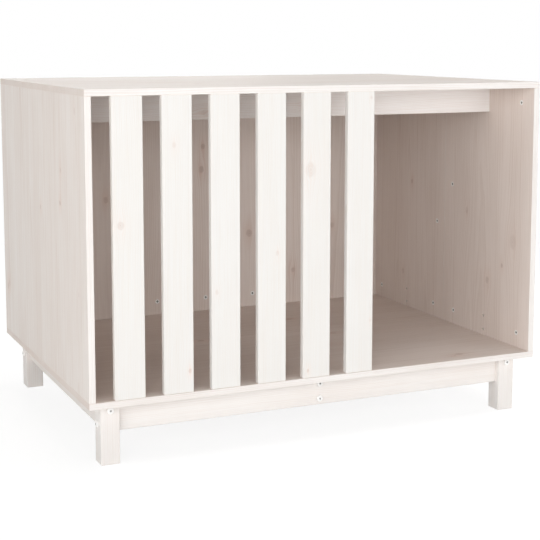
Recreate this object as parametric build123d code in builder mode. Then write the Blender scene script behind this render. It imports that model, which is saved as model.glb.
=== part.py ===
"""A slatted dog house of solid pine boards: a box with an open doorway, standing on a low leg frame.

Millimetres. X runs along the width, with the doorway on the +X side. The front faces -Y and +Z is up.
The origin is on the floor, under the middle of the house.

Boards meet in three kinds of joint, and every bore is worked out from the joint that it serves:
- a cam lock in one board draws in the head of a cam bolt, which is screwed into the other board;
- a wooden dowel sits half in one piece and half in the other;
- a bolt goes through a leg or an apron into a barrel nut, which lies across the piece behind.

Some two hundred bores and pins lie out of sight in the wood. Their sections have a few flats that
touch the real round one from outside, which keeps the model light.
"""

import os
from collections import defaultdict
from typing import NamedTuple

from build123d import *

# Overall sizes
width = 1000.0
depth = 700.0
height = 720.0
leg_height = 120.0

# Boards
board = 13.0
batten_height = 59.0
apron_height = 58.0
leg = 38.0
back_middle_width = 164.0

# Front
slat_count = 6
slat_width = 60.0
doorway_width = 387.0
slat_seam = 0.6

# Base
leg_inset = 30.0

# Eased edges
panel_ease = 0.5
slat_ease = 0.8
frame_ease = 1.0

# Cam locks and their bolts
cam_radius = 5.0
cam_cover = 3.0
cam_edge_inset = 46.0
cam_setback = 33.0
cam_offset = 48.5
cam_bolt_radius = 2.5
cam_thread_cover = 4.0

# Wooden dowels
dowel_radius = 3.0
dowel_length = 24.0
dowel_cover = 3.0
dowel_room = 0.5
dowel_wall = 3.7
dowel_pitch = 32.0
back_seam_dowel = 190.0
panel_seam_dowel = 330.0

# Bolts and barrel nuts
bolt_radius = 3.0
bolt_head_radius = 6.5
bolt_head_height = 4.5
bolt_head_bevel = 1.0
bolt_bore_room = 0.3
bolt_past_nut = 4.0
hex_key = 4.0
hex_depth = 1.5
nut_radius = 5.0
nut_length = 10.0
nut_setback = 24.0
leg_side_bolt_drop = 42.0

# Sliding fit of a fitting in its bore, and how many flats their sections have
fit = 0.1
head_flat_count = 16
metal_flat_count = 8
dowel_flat_count = 6

# Faces of the box and of the space in it
x_side = width / 2
y_side = depth / 2
x_inner = x_side - board
y_inner = y_side - board
z_box = leg_height
z_floor = z_box + board
z_roof = height - board
z_middle = (z_floor + z_roof) / 2

# Front: slats from the left wall to the doorway, with equal gaps
slatted_width = 2 * x_inner - doorway_width
slat_gap = (slatted_width - slat_count * slat_width) / slat_count

# Base: legs at the corners, with the aprons on their middle lines
x_leg = x_side - leg_inset - leg / 2
y_leg = y_side - leg_inset - leg / 2
x_apron_end = x_leg - leg / 2
y_apron_end = y_leg - leg / 2
z_apron = z_box - apron_height
y_rail_end = y_leg - board / 2

# Heights of paired fittings, one above the other about a piece's middle line
z_frame_pair = [z_box - apron_height / 2 + s * dowel_pitch / 2 for s in (-1, 1)]
z_frame_low, z_frame_high = z_frame_pair
z_leg_side_bolt = z_box - leg_side_bolt_drop
z_batten_pair = [z_roof - batten_height / 2 + s * dowel_pitch / 2 for s in (-1, 1)]
y_batten = y_side / 2

# Depths that keep cover behind a bore
cam_depth = board - cam_cover
dowel_in_face = board - dowel_cover
cam_thread_length = board - cam_thread_cover
dowel_in_leg = leg / 2 - bolt_radius - bolt_bore_room - dowel_wall

sides = {"left": -1, "right": 1}
rows = {"front": -1, "back": 1}
ends = {"top": 1, "floor": -1}


class Bore(NamedTuple):
    """A hole for a pin or a barrel. The mouth's normal points out of the wood."""

    mouth: Plane
    radius: float
    depth: float
    flats: int = metal_flat_count


bores = defaultdict(list)
places = defaultdict(list)


def cam_joint(group, owner, mate, mouth):
    """A cam lock in the owner and a bolt in the mate. The mouth lies over the cam, with x to the mate."""
    seam = Plane(
        mouth.origin + mouth.x_dir * cam_setback - mouth.z_dir * board / 2,
        x_dir=mouth.z_dir,
        z_dir=mouth.x_dir,
    )
    bores[owner].append(Bore(mouth, cam_radius + fit, cam_depth + fit))
    bores[owner].append(Bore(seam, cam_bolt_radius + fit, cam_setback - cam_radius))
    bores[mate].append(Bore(-seam, cam_bolt_radius + fit, cam_thread_length + fit))
    places[f"cam_locks_{group}"].append(mouth)
    places[f"cam_bolts_{group}"].append(seam)


def dowel_joint(group, first, second, seam, in_second):
    """A dowel across a seam, whose normal points into the second piece."""
    in_first = dowel_length - in_second
    bores[first].append(Bore(seam, dowel_radius + fit, in_first + dowel_room, dowel_flat_count))
    bores[second].append(Bore(-seam, dowel_radius + fit, in_second + dowel_room, dowel_flat_count))
    places[group].append(seam.offset(in_second))


def bolt_joint(group, clamped, carrier, head_seat, grip, across):
    """A bolt through the clamped piece into a barrel nut, put in from the carrier's face across."""
    end = head_seat.offset(-grip)
    nut = Plane(end.offset(-nut_setback).origin, x_dir=head_seat.z_dir, z_dir=across)
    bore = bolt_radius + bolt_bore_room
    bores[clamped].append(Bore(head_seat, bore, grip))
    bores[carrier].append(Bore(end, bore, nut_setback + nut_radius + bolt_past_nut + dowel_room))
    bores[carrier].append(Bore(nut.offset(board / 2), nut_radius + fit, (board + nut_length) / 2 + fit))
    places[f"{group}_bolts"].append(head_seat)
    places[f"{group}_barrel_nuts"].append(nut)


def round_section(radius, flats=metal_flat_count):
    """The section that stands for a round one: flats that touch its circle from outside."""
    RegularPolygon(radius, flats, major_radius=False, rotation=180 / flats)


def block(low, high):
    """A rectangular piece between two opposite corners."""
    middle = [(a + b) / 2 for a, b in zip(low, high)]
    with BuildSketch(Plane((middle[0], middle[1], low[2]))) as outline:
        Rectangle(high[0] - low[0], high[1] - low[1])
    extrude(outline.sketch, amount=high[2] - low[2])


def drill(name):
    """All the bores that the joints need in this piece."""
    for bore in bores[name]:
        with BuildSketch(bore.mouth) as mouth:
            round_section(bore.radius, bore.flats)
        extrude(mouth.sketch, amount=-bore.depth, mode=Mode.SUBTRACT)


def save(piece, name):
    """Names a finished piece and writes it."""
    piece.part.label = name
    export_step(piece.part, f"parts/{name}.step")


def save_group(piece, name):
    """Writes a fitting at each of its places as one group of separate solids."""
    with BuildPart() as group:
        with Locations(*[Location(place) for place in places[name]]):
            add(piece.part)
    save(group, name)


os.makedirs("parts", exist_ok=True)

# Joints of the side walls: four alike boards, each turned to its corner
for side, sx in sides.items():
    inward = Vector(-sx, 0, 0)
    for row, sy in rows.items():
        wall = f"{side}_side_board_{row}"
        for end, sz in ends.items():
            z_end = z_roof if sz > 0 else z_floor
            for y in (sy * (y_side - cam_edge_inset), sy * cam_edge_inset):
                mouth = Plane((sx * x_inner, y, z_end - sz * cam_setback), x_dir=(0, 0, sz), z_dir=inward)
                cam_joint("sides", wall, f"{end}_board_{row}", mouth)
        other = f"{side}_side_board_{'back' if row == 'front' else 'front'}"
        z_cam = z_middle - sx * sy * cam_offset
        seam_mouth = Plane((sx * x_inner, sy * cam_setback, z_cam), x_dir=(0, -sy, 0), z_dir=inward)
        cam_joint("sides", wall, other, seam_mouth)
        for z in z_batten_pair:
            seam = Plane((sx * x_inner, sy * y_batten, z), x_dir=(0, 0, 1), z_dir=-inward)
            dowel_joint("batten_dowels", f"top_batten_{row}", wall, seam, dowel_in_face)
            spare = Plane((sx * x_inner, sy * y_batten, 2 * z_middle - z), x_dir=(0, 0, 1), z_dir=inward)
            bores[wall].append(Bore(spare, dowel_radius + fit, dowel_in_face + dowel_room, head_flat_count))

# Joints of the back wall
x_back_seam = back_middle_width / 2
x_back_cams = {
    "back_board_left": (cam_edge_inset - x_inner, -x_back_seam - cam_edge_inset),
    "back_board_middle": (0.0,),
    "back_board_right": (x_back_seam + cam_edge_inset, x_inner - cam_edge_inset),
}
for wall, cam_columns in x_back_cams.items():
    for x in cam_columns:
        for end, sz in ends.items():
            z_end = z_roof if sz > 0 else z_floor
            mouth = Plane((x, y_inner, z_end - sz * cam_setback), x_dir=(0, 0, sz), z_dir=(0, -1, 0))
            cam_joint("back", wall, f"{end}_board_back", mouth)
for side, sx in sides.items():
    for z in (z_middle - back_seam_dowel, z_middle + back_seam_dowel):
        seam = Plane((sx * x_back_seam, y_side - board / 2, z), x_dir=(0, 0, 1), z_dir=(sx, 0, 0))
        dowel_joint("seam_dowels", "back_board_middle", f"back_board_{side}", seam, dowel_length / 2)

# Seams along the top and along the floor
for end, z_face in (("top", z_roof), ("floor", z_box)):
    for x in (-panel_seam_dowel, 0.0, panel_seam_dowel):
        seam = Plane((x, 0, z_face + board / 2), x_dir=(0, 0, 1), z_dir=(0, 1, 0))
        dowel_joint("seam_dowels", f"{end}_board_front", f"{end}_board_back", seam, dowel_length / 2)

# Joints of the slats, two dowels at each end
slat_left = [slat_gap * (i + 1) + slat_width * i - x_inner for i in range(slat_count)]
for i, x_left in enumerate(slat_left):
    for x in (x_left + slat_width / 2 - dowel_pitch / 2, x_left + slat_width / 2 + dowel_pitch / 2):
        for end, sz in ends.items():
            z_end = z_roof if sz > 0 else z_floor
            seam = Plane((x, board / 2 - y_side, z_end), x_dir=(1, 0, 0), z_dir=(0, 0, sz))
            dowel_joint("slat_dowels", f"slat_{i + 1}", f"{end}_board_front", seam, dowel_in_face)

# Joints of the leg frame
for side, sx in sides.items():
    for row, sy in rows.items():
        post = f"leg_{row}_{side}"
        out_of_row = Plane((sx * x_leg, sy * (y_leg + leg / 2), z_frame_high), z_dir=(0, sy, 0))
        bolt_joint("leg", post, f"{side}_apron", out_of_row, leg, Vector(-sx, 0, 0))
        out_of_side = Plane((sx * (x_leg + leg / 2), sy * y_leg, z_leg_side_bolt), z_dir=(sx, 0, 0))
        bolt_joint("leg", post, f"{row}_apron", out_of_side, leg, Vector(0, -sy, 0))
        seam = Plane((sx * x_apron_end, sy * y_leg, z_frame_high), z_dir=(sx, 0, 0))
        dowel_joint("leg_dowels", f"{row}_apron", post, seam, dowel_in_leg)
        seam = Plane((sx * x_leg, sy * y_apron_end, z_frame_low), z_dir=(0, sy, 0))
        dowel_joint("leg_dowels", f"{side}_apron", post, seam, dowel_in_leg)
        seam = Plane((sx * x_apron_end / 2, sy * y_leg, z_box))
        dowel_joint("base_dowels", f"{row}_apron", f"floor_board_{row}", seam, dowel_in_face)
for row, sy in rows.items():
    for z in z_frame_pair:
        head_seat = Plane((0, sy * (y_leg + board / 2), z), z_dir=(0, sy, 0))
        bolt_joint("rail", f"{row}_apron", "centre_rail", head_seat, board, Vector(1, 0, 0))

# Top, floor and side walls
for row, sy in rows.items():
    y_low, y_high = sorted((0, sy * y_side))
    for end, z_low in (("top", z_roof), ("floor", z_box)):
        with BuildPart() as panel_board:
            block((-x_side, y_low, z_low), (x_side, y_high, z_low + board))
            chamfer(panel_board.edges(), panel_ease)
            drill(f"{end}_board_{row}")
        save(panel_board, f"{end}_board_{row}")
    for side, sx in sides.items():
        x_low, x_high = sorted((sx * x_inner, sx * x_side))
        with BuildPart() as side_board:
            block((x_low, y_low, z_floor), (x_high, y_high, z_roof))
            chamfer(side_board.edges(), panel_ease)
            drill(f"{side}_side_board_{row}")
        save(side_board, f"{side}_side_board_{row}")

# Back wall, set between the side walls
back_bounds = {
    "back_board_left": (-x_inner, -x_back_seam),
    "back_board_middle": (-x_back_seam, x_back_seam),
    "back_board_right": (x_back_seam, x_inner),
}
for name, (x_low, x_high) in back_bounds.items():
    with BuildPart() as back_board:
        block((x_low, y_inner, z_floor), (x_high, y_side, z_roof))
        chamfer(back_board.edges(), panel_ease)
        drill(name)
    save(back_board, name)

# Slats, flush with the front edges and a hair short of the floor
for i, x_left in enumerate(slat_left):
    with BuildPart() as slat:
        block((x_left, -y_side, z_floor + slat_seam), (x_left + slat_width, -y_inner, z_roof))
        chamfer(slat.edges().filter_by(Axis.Z), slat_ease)
        drill(f"slat_{i + 1}")
    save(slat, f"slat_{i + 1}")

# Battens that stiffen the top
for row, sy in rows.items():
    with BuildPart() as batten:
        y_middle = sy * y_batten
        block(
            (-x_inner, y_middle - board / 2, z_roof - batten_height),
            (x_inner, y_middle + board / 2, z_roof),
        )
        chamfer(batten.edges().filter_by(Axis.X), slat_ease)
        drill(f"top_batten_{row}")
    save(batten, f"top_batten_{row}")

# Legs
for side, sx in sides.items():
    for row, sy in rows.items():
        with BuildPart() as post:
            block(
                (sx * x_leg - leg / 2, sy * y_leg - leg / 2, 0),
                (sx * x_leg + leg / 2, sy * y_leg + leg / 2, leg_height),
            )
            chamfer(post.edges() - post.faces().sort_by(Axis.Z)[-1].edges(), frame_ease)
            drill(f"leg_{row}_{side}")
        save(post, f"leg_{row}_{side}")

# Aprons between the legs
for row, sy in rows.items():
    with BuildPart() as apron:
        block(
            (-x_apron_end, sy * y_leg - board / 2, z_apron),
            (x_apron_end, sy * y_leg + board / 2, z_box),
        )
        chamfer(apron.edges().filter_by(Axis.X), frame_ease)
        drill(f"{row}_apron")
    save(apron, f"{row}_apron")
for side, sx in sides.items():
    with BuildPart() as apron:
        block(
            (sx * x_leg - board / 2, -y_apron_end, z_apron),
            (sx * x_leg + board / 2, y_apron_end, z_box),
        )
        chamfer(apron.edges().filter_by(Axis.Y), frame_ease)
        drill(f"{side}_apron")
    save(apron, f"{side}_apron")

# Rail from the front apron to the back one, under the middle of the floor
with BuildPart() as centre_rail:
    block((-board / 2, -y_rail_end, z_apron), (board / 2, y_rail_end, z_box))
    chamfer(centre_rail.edges().filter_by(Axis.Y), frame_ease)
    drill("centre_rail")
save(centre_rail, "centre_rail")

# Cam lock: its face at the origin, its barrel below
with BuildPart() as cam_lock:
    with BuildSketch(Plane.XY) as barrel:
        round_section(cam_radius)
    extrude(barrel.sketch, amount=-cam_depth)
for group in ("sides", "back"):
    save_group(cam_lock, f"cam_locks_{group}")

# Cam bolt: its thread above the seam, and its shank below, as far as the cam's wall
with BuildPart() as cam_bolt:
    with BuildSketch(Plane.XY.offset(cam_radius + fit - cam_setback)) as pin:
        round_section(cam_bolt_radius)
    extrude(pin.sketch, amount=cam_setback - cam_radius - fit + cam_thread_length)
for group in ("sides", "back"):
    save_group(cam_bolt, f"cam_bolts_{group}")

# Wooden dowel: its end in the second piece at the origin
with BuildPart() as dowel:
    with BuildSketch(Plane.XY) as pin:
        round_section(dowel_radius, dowel_flat_count)
    extrude(pin.sketch, amount=-dowel_length)
for group in ("slat", "batten", "seam", "leg", "base"):
    save_group(dowel, f"{group}_dowels")

# Bolts: a bevelled head with a hex recess on the seat at the origin, and the shank below it
for group, grip in (("leg", leg), ("rail", board)):
    with BuildPart() as bolt:
        with BuildSketch(Plane.XY) as head:
            round_section(bolt_head_radius, head_flat_count)
        extrude(head.sketch, amount=bolt_head_height)
        crown_rim = bolt.faces().sort_by(Axis.Z)[-1].edges()
        chamfer(crown_rim, bolt_head_bevel)
        with BuildSketch(Plane.XY.offset(bolt_head_height)):
            RegularPolygon(hex_key / 2, 6, major_radius=False)
        extrude(amount=-hex_depth, mode=Mode.SUBTRACT)
        with BuildSketch(Plane.XY) as shank:
            round_section(bolt_radius)
        extrude(shank.sketch, amount=-grip - nut_setback - nut_radius - bolt_past_nut)
    save_group(bolt, f"{group}_bolts")

# Barrel nut: its axis on z, tapped along x
with BuildPart() as barrel_nut:
    with BuildSketch(Plane.XY.offset(-nut_length / 2)) as barrel:
        round_section(nut_radius)
    extrude(barrel.sketch, amount=nut_length)
    with BuildSketch(Plane.YZ.offset(-nut_radius)) as tapping:
        round_section(bolt_radius + fit)
    extrude(tapping.sketch, amount=2 * nut_radius, mode=Mode.SUBTRACT)
for group in ("leg", "rail"):
    save_group(barrel_nut, f"{group}_barrel_nuts")

print("slat gap", round(slat_gap, 2), "fittings", {name: len(spots) for name, spots in places.items()})
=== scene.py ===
"""A dog house of white-stained pine: materials, fittings, light and camera around its fixed CAD frame.

Metres. X runs along the width, the front faces -Y and +Z is up. Boards keep their CAD meshes and get
a solid wood pattern that runs along each board's own length. Round fittings are made again, finer.
"""

import logging
import math
import random
from collections.abc import Callable, Iterable, Sequence
from dataclasses import dataclass, field, replace
from enum import Enum
from typing import ClassVar

import bmesh
import bpy
from mathutils import Matrix, Vector


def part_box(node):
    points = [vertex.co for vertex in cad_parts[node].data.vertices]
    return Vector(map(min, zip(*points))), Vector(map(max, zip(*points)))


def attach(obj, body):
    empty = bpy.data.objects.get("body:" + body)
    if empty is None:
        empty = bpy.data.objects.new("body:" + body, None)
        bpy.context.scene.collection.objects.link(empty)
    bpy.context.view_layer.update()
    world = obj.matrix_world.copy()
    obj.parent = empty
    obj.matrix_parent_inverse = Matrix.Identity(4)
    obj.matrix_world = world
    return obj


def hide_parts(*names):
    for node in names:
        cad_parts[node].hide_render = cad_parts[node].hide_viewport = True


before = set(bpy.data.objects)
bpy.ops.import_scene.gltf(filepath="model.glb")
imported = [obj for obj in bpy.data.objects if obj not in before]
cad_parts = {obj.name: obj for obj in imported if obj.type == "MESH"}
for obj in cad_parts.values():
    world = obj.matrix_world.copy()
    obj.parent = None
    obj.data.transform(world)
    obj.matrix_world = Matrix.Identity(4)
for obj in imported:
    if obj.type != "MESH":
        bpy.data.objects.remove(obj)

LOG = logging.getLogger("dog_house")
Colour = tuple[float, float, float]
Value = float | Sequence[float] | bpy.types.NodeSocket

KNOT_WAVER_SCALE = 70.0
KNOT_WAVER = 0.005
KNOT_STRETCH = (0.78, 1.0, 0.0)
KNOT_RINGS = 15.0
EYE_STRETCH = (0.36, 0.8, 0.0)
EYE_REACH = 1.9
EYE_PULL = -0.86
STRIPS_AWAY = 50.5
PITH_DRIFT = 0.05
TRUNK_TAPER = 0.02
RING_CURL = 0.008
FIBRES_ALONG = 9.0
FIBRES_ACROSS = 520.0
CLOUDS_ALONG = 3.0
CLOUDS_ACROSS = 11.0
GLUE_LINE = (0.0002, 0.0011)
FACE_SKIN = (0.0003, 0.0009)
EDGE_REACH = 0.0016
# How far in from a box board's inner face its painted shade fades in.
INNER_SKIN = (0.0011, 0.0003)
GRAIN_BUMP = 0.0003
FITTING_BUMP = 0.0001
SMOOTH_ANGLE = 32
TOUCH = 1e-6


class Grain(Enum):
    """The axis that a board's grain follows, with the axes across its face and through it."""

    WIDE = (0, 1, 2)
    UPRIGHT_FACING_FRONT = (2, 0, 1)
    UPRIGHT_FACING_SIDE = (2, 1, 0)
    LENGTH_ON_EDGE = (0, 2, 1)
    DEPTH_ON_EDGE = (1, 2, 0)

    def order(self, values: Sequence[float]) -> tuple[float, float, float]:
        """Puts x, y and z values in the order along, across and through the board."""
        along, across, through = self.value
        return (values[along], values[across], values[through])


class Axis(Enum):
    """The directions that a fitting's head can face."""

    LEFT = Vector((-1.0, 0.0, 0.0))
    RIGHT = Vector((1.0, 0.0, 0.0))
    FRONT = Vector((0.0, -1.0, 0.0))
    BACK = Vector((0.0, 1.0, 0.0))


class Graph:
    """A node tree with short calls that add and wire its nodes."""

    def __init__(self, tree: bpy.types.NodeTree) -> None:
        """Keeps the tree and empties it.

        Args:
            tree: The node tree of a material, a world or a group.
        """
        self.tree = tree
        tree.nodes.clear()

    def node(self, kind: str, wires: dict[str | int, Value] | None = None, **settings) -> bpy.types.Node:
        """Adds a node.

        Args:
            kind: The node's type name.
            wires: What each input gets, by the input's name or number.
            settings: The node's own options.

        Returns:
            The new node.
        """
        made = self.tree.nodes.new(kind)
        for name, setting in settings.items():
            setattr(made, name, setting)
        for name, value in (wires or {}).items():
            self.wire(value, made.inputs[name])
        return made

    def wire(self, value: Value, target: bpy.types.NodeSocket) -> None:
        """Links a socket to an input, or sets the input to a number, a vector or a colour."""
        if isinstance(value, bpy.types.NodeSocket):
            self.tree.links.new(value, target)
        else:
            target.default_value = value

    def calc(self, operation: str, *values: Value, clamp: bool = False) -> bpy.types.NodeSocket:
        """Adds a Math node.

        Args:
            operation: The node's operation.
            values: Its inputs in order.
            clamp: Whether the result is held between 0 and 1.

        Returns:
            The result.
        """
        wires = dict(enumerate(values))
        return self.node("ShaderNodeMath", wires, operation=operation, use_clamp=clamp).outputs[0]

    def times(self, first: Value, second: Value) -> bpy.types.NodeSocket:
        """Multiplies two numbers."""
        return self.calc("MULTIPLY", first, second)

    def scaled_plus(self, value: Value, factor: Value, more: Value) -> bpy.types.NodeSocket:
        """Multiplies a value by a factor and adds to it."""
        return self.calc("MULTIPLY_ADD", value, factor, more)

    def vector(self, operation: str, *values: Value) -> bpy.types.NodeSocket:
        """Adds a Vector Math node and returns its vector, or its number for a length."""
        made = self.node("ShaderNodeVectorMath", dict(enumerate(values)), operation=operation)
        return made.outputs["Value" if operation == "LENGTH" else "Vector"]

    def split(self, vector: Value) -> bpy.types.bpy_prop_collection:
        """Gives the x, y and z sockets of a vector."""
        return self.node("ShaderNodeSeparateXYZ", {0: vector}).outputs

    def joined(self, x: Value, y: Value, z: Value) -> bpy.types.NodeSocket:
        """Makes a vector of three numbers."""
        return self.node("ShaderNodeCombineXYZ", {0: x, 1: y, 2: z}).outputs[0]

    def ramp(
        self, value: Value, low: float, high: float, to_low: float = 0.0, to_high: float = 1.0
    ) -> bpy.types.NodeSocket:
        """Turns a value between two limits smoothly into another range.

        Args:
            value: The value to change.
            low: The value that gives to_low.
            high: The value that gives to_high.
            to_low: The first end of the new range.
            to_high: The second end of the new range.

        Returns:
            The changed value.
        """
        wires = {"Value": value, 1: low, 2: high, 3: to_low, 4: to_high}
        made = self.node("ShaderNodeMapRange", wires, interpolation_type="SMOOTHSTEP")
        return made.outputs["Result"]

    def stretched_length(self, offset: Value, stretch: Colour) -> bpy.types.NodeSocket:
        """Gives an offset's length after each axis is scaled."""
        return self.vector("LENGTH", self.vector("MULTIPLY", offset, stretch))

    def blend(self, amount: Value, first: Value, second: Value) -> bpy.types.NodeSocket:
        """Mixes two colours.

        Args:
            amount: The share of the second colour.
            first: The first colour, or where it comes from.
            second: The second colour, or where it comes from.

        Returns:
            The mixed colour.
        """
        made = self.node("ShaderNodeMix", {"Factor": amount}, data_type="RGBA", clamp_factor=True)
        self.wire(first, made.inputs[6])
        self.wire(second, made.inputs[7])
        return made.outputs[2]

    def noise(
        self, position: Value, scale: float, detail: float = 2.0, roughness: float = 0.5
    ) -> bpy.types.NodeSocket:
        """Adds a Noise texture and returns its value."""
        wires = {"Vector": position, "Scale": scale, "Detail": detail, "Roughness": roughness}
        return self.node("ShaderNodeTexNoise", wires).outputs["Fac"]


def shader_group(
    name: str,
    takes: dict[str, str],
    gives: dict[str, str],
    build: Callable[[Graph, dict[str, bpy.types.NodeSocket]], dict[str, Value]],
) -> bpy.types.NodeTree:
    """Builds a shader node group with named sockets, once.

    Args:
        name: The group's name.
        takes: Each input's name and kind: Float, Vector or Color.
        gives: Each output's name and kind.
        build: Makes the nodes between the inputs and the outputs.

    Returns:
        The group.
    """
    if name in bpy.data.node_groups:
        return bpy.data.node_groups[name]
    tree = bpy.data.node_groups.new(name, "ShaderNodeTree")
    for sockets, in_out in ((takes, "INPUT"), (gives, "OUTPUT")):
        for socket, kind in sockets.items():
            tree.interface.new_socket(socket, in_out=in_out, socket_type=f"NodeSocket{kind}")
    graph = Graph(tree)
    entry = graph.node("NodeGroupInput")
    made = build(graph, {socket: entry.outputs[socket] for socket in takes})
    graph.node("NodeGroupOutput", made)
    return tree


def knot_nodes(graph: Graph, given: dict[str, bpy.types.NodeSocket]) -> dict[str, Value]:
    """The nodes of one knot: it bends the grain round itself and darkens the wood in it.

    Args:
        graph: The group's tree.
        given: The group's inputs.

    Returns:
        The bent position, and the knot's mask and blush added to those that came in.
    """
    place = given["Position"]
    waver = graph.node("ShaderNodeTexNoise", {"Vector": place, "Scale": KNOT_WAVER_SCALE, "Detail": 1.0})
    shaken = graph.vector("SUBTRACT", waver.outputs["Color"], (0.5, 0.5, 0.5))
    wires = {0: shaken, "Scale": KNOT_WAVER}
    shaken = graph.node("ShaderNodeVectorMath", wires, operation="SCALE").outputs[0]
    offset = graph.vector("SUBTRACT", place, given["Centre"])
    offset = graph.vector("ADD", offset, shaken)
    body = graph.stretched_length(offset, KNOT_STRETCH)
    reach = graph.calc("DIVIDE", body, given["Radius"])
    core = graph.ramp(reach, 0.72, 1.08, 1.0, 0.0)
    turns = graph.calc("SINE", graph.times(reach, KNOT_RINGS))
    core = graph.times(core, graph.scaled_plus(turns, 0.16, 0.66))
    off_rim = graph.calc("DIVIDE", graph.calc("SUBTRACT", reach, 1.0), 0.2)
    rim = graph.calc("EXPONENT", graph.times(graph.times(off_rim, off_rim), -1.0))
    heart = graph.ramp(reach, 0.0, 0.3, 0.5, 0.0)
    mask = graph.calc("ADD", graph.scaled_plus(rim, 0.32, core), heart)
    mask = graph.scaled_plus(mask, given["Depth"], given["Knot"])
    eye = graph.stretched_length(offset, EYE_STRETCH)
    eye = graph.calc("DIVIDE", eye, graph.times(given["Radius"], EYE_REACH))
    pull = graph.calc("EXPONENT", graph.times(graph.times(eye, eye), -1.0))
    across = graph.split(offset)[1]
    shift = graph.times(graph.times(pull, across), EYE_PULL)
    step = graph.joined(0.0, shift, 0.0)
    blush = graph.scaled_plus(pull, given["Depth"], given["Blush"])
    return {"Bent": graph.vector("ADD", given["Bent"], step), "Knot": mask, "Blush": blush}


def figure_nodes(graph: Graph, given: dict[str, bpy.types.NodeSocket]) -> dict[str, Value]:
    """The nodes of sawn pine: growth rings round a pith beside each strip of a glued board.

    Args:
        graph: The group's tree.
        given: The group's inputs.

    Returns:
        Late wood of the rings, fine fibres, the strip's tone, its glue line and the stain's clouds.
    """
    along, across, through = graph.split(given["Bent"])
    sown = graph.times(given["Seed"], 3.71)
    strip_at = graph.calc("ADD", graph.calc("DIVIDE", across, given["Strip"]), STRIPS_AWAY)
    strip = graph.calc("FLOOR", strip_at)
    local = graph.calc("SUBTRACT", graph.calc("SUBTRACT", strip_at, strip), 0.5)
    chance = graph.node(
        "ShaderNodeTexWhiteNoise", {"W": graph.calc("ADD", graph.times(strip, 1.37), sown)},
        noise_dimensions="1D",
    )
    lots = graph.node("ShaderNodeSeparateColor", {0: chance.outputs["Color"]}).outputs
    wander = graph.joined(graph.times(along, 1.6), graph.times(strip, 5.3), sown)
    drift = graph.calc("SUBTRACT", graph.noise(wander, 1.0, 1.0), 0.5)
    pith = graph.times(graph.calc("SUBTRACT", lots[0], 0.5), given["Strip"])
    pith = graph.scaled_plus(drift, PITH_DRIFT, pith)
    depth = graph.times(graph.scaled_plus(lots[1], 0.9, 0.55), given["Pith"])
    from_pith = graph.calc("SUBTRACT", graph.times(local, given["Strip"]), pith)
    below = graph.calc("ADD", through, depth)
    radius = graph.vector("LENGTH", graph.joined(from_pith, below, 0.0))
    taper = graph.times(graph.calc("SUBTRACT", lots[2], 0.35), TRUNK_TAPER)
    radius = graph.scaled_plus(along, taper, radius)
    curl = graph.joined(graph.times(along, 3.2), graph.times(across, 26.0), sown)
    swing = graph.calc("SUBTRACT", graph.noise(curl, 1.0, 3.0), 0.5)
    radius = graph.scaled_plus(swing, RING_CURL, radius)
    rings = graph.calc("DIVIDE", radius, given["Spacing"])
    ring = graph.calc("FLOOR", rings)
    within = graph.calc("SUBTRACT", rings, ring)
    late = graph.times(graph.ramp(within, 0.25, 0.88), graph.ramp(within, 0.9, 1.0, 1.0, 0.0))
    year = graph.node("ShaderNodeTexWhiteNoise", {"W": graph.calc("ADD", ring, sown)}, noise_dimensions="1D")
    late = graph.times(late, graph.scaled_plus(year.outputs["Value"], 0.75, 0.25))
    fine = graph.joined(
        graph.times(along, FIBRES_ALONG),
        graph.scaled_plus(across, FIBRES_ACROSS, sown),
        graph.times(through, FIBRES_ACROSS),
    )
    fibre = graph.ramp(graph.noise(fine, 1.0, 5.0, 0.72), 0.4, 0.74)
    seam = graph.times(graph.calc("SUBTRACT", 0.5, graph.calc("ABSOLUTE", local)), given["Strip"])
    glue = graph.ramp(seam, *GLUE_LINE, 1.0, 0.0)
    sky = graph.joined(
        graph.scaled_plus(along, CLOUDS_ALONG, sown),
        graph.times(across, CLOUDS_ACROSS),
        graph.times(through, CLOUDS_ACROSS),
    )
    cloud = graph.ramp(graph.noise(sky, 1.0, 4.0, 0.55), 0.3, 0.72)
    return {"Rings": late, "Fibre": fibre, "Tone": lots[1], "Glue": glue, "Cloud": cloud}


def edge_nodes(graph: Graph, given: dict[str, bpy.types.NodeSocket]) -> dict[str, Value]:
    """The nodes that find a board's edges and ends from its half sizes.

    Args:
        graph: The group's tree.
        given: The group's inputs.

    Returns:
        Masks of the rubbed edges, of the end grain and of all the narrow faces.
    """
    inside = graph.vector("ABSOLUTE", given["Position"])
    inside = graph.vector("SUBTRACT", given["Half"], inside)
    first, second, third = graph.split(inside)
    lower = graph.calc("MINIMUM", first, second)
    upper = graph.calc("MAXIMUM", first, second)
    middle = graph.calc("MAXIMUM", lower, graph.calc("MINIMUM", upper, third))
    wave = graph.noise(given["Position"], 55.0, 3.0)
    reach = graph.times(given["Reach"], graph.scaled_plus(wave, 2.2, -0.25))
    rubbed = graph.calc("DIVIDE", middle, graph.calc("MAXIMUM", reach, 0.0002))
    worn = graph.calc("SUBTRACT", 1.0, rubbed, clamp=True)
    end = graph.ramp(first, *FACE_SKIN, 1.0, 0.0)
    rim = graph.ramp(lower, *FACE_SKIN, 1.0, 0.0)
    return {"Edge": worn, "End": end, "Rim": rim}


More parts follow.
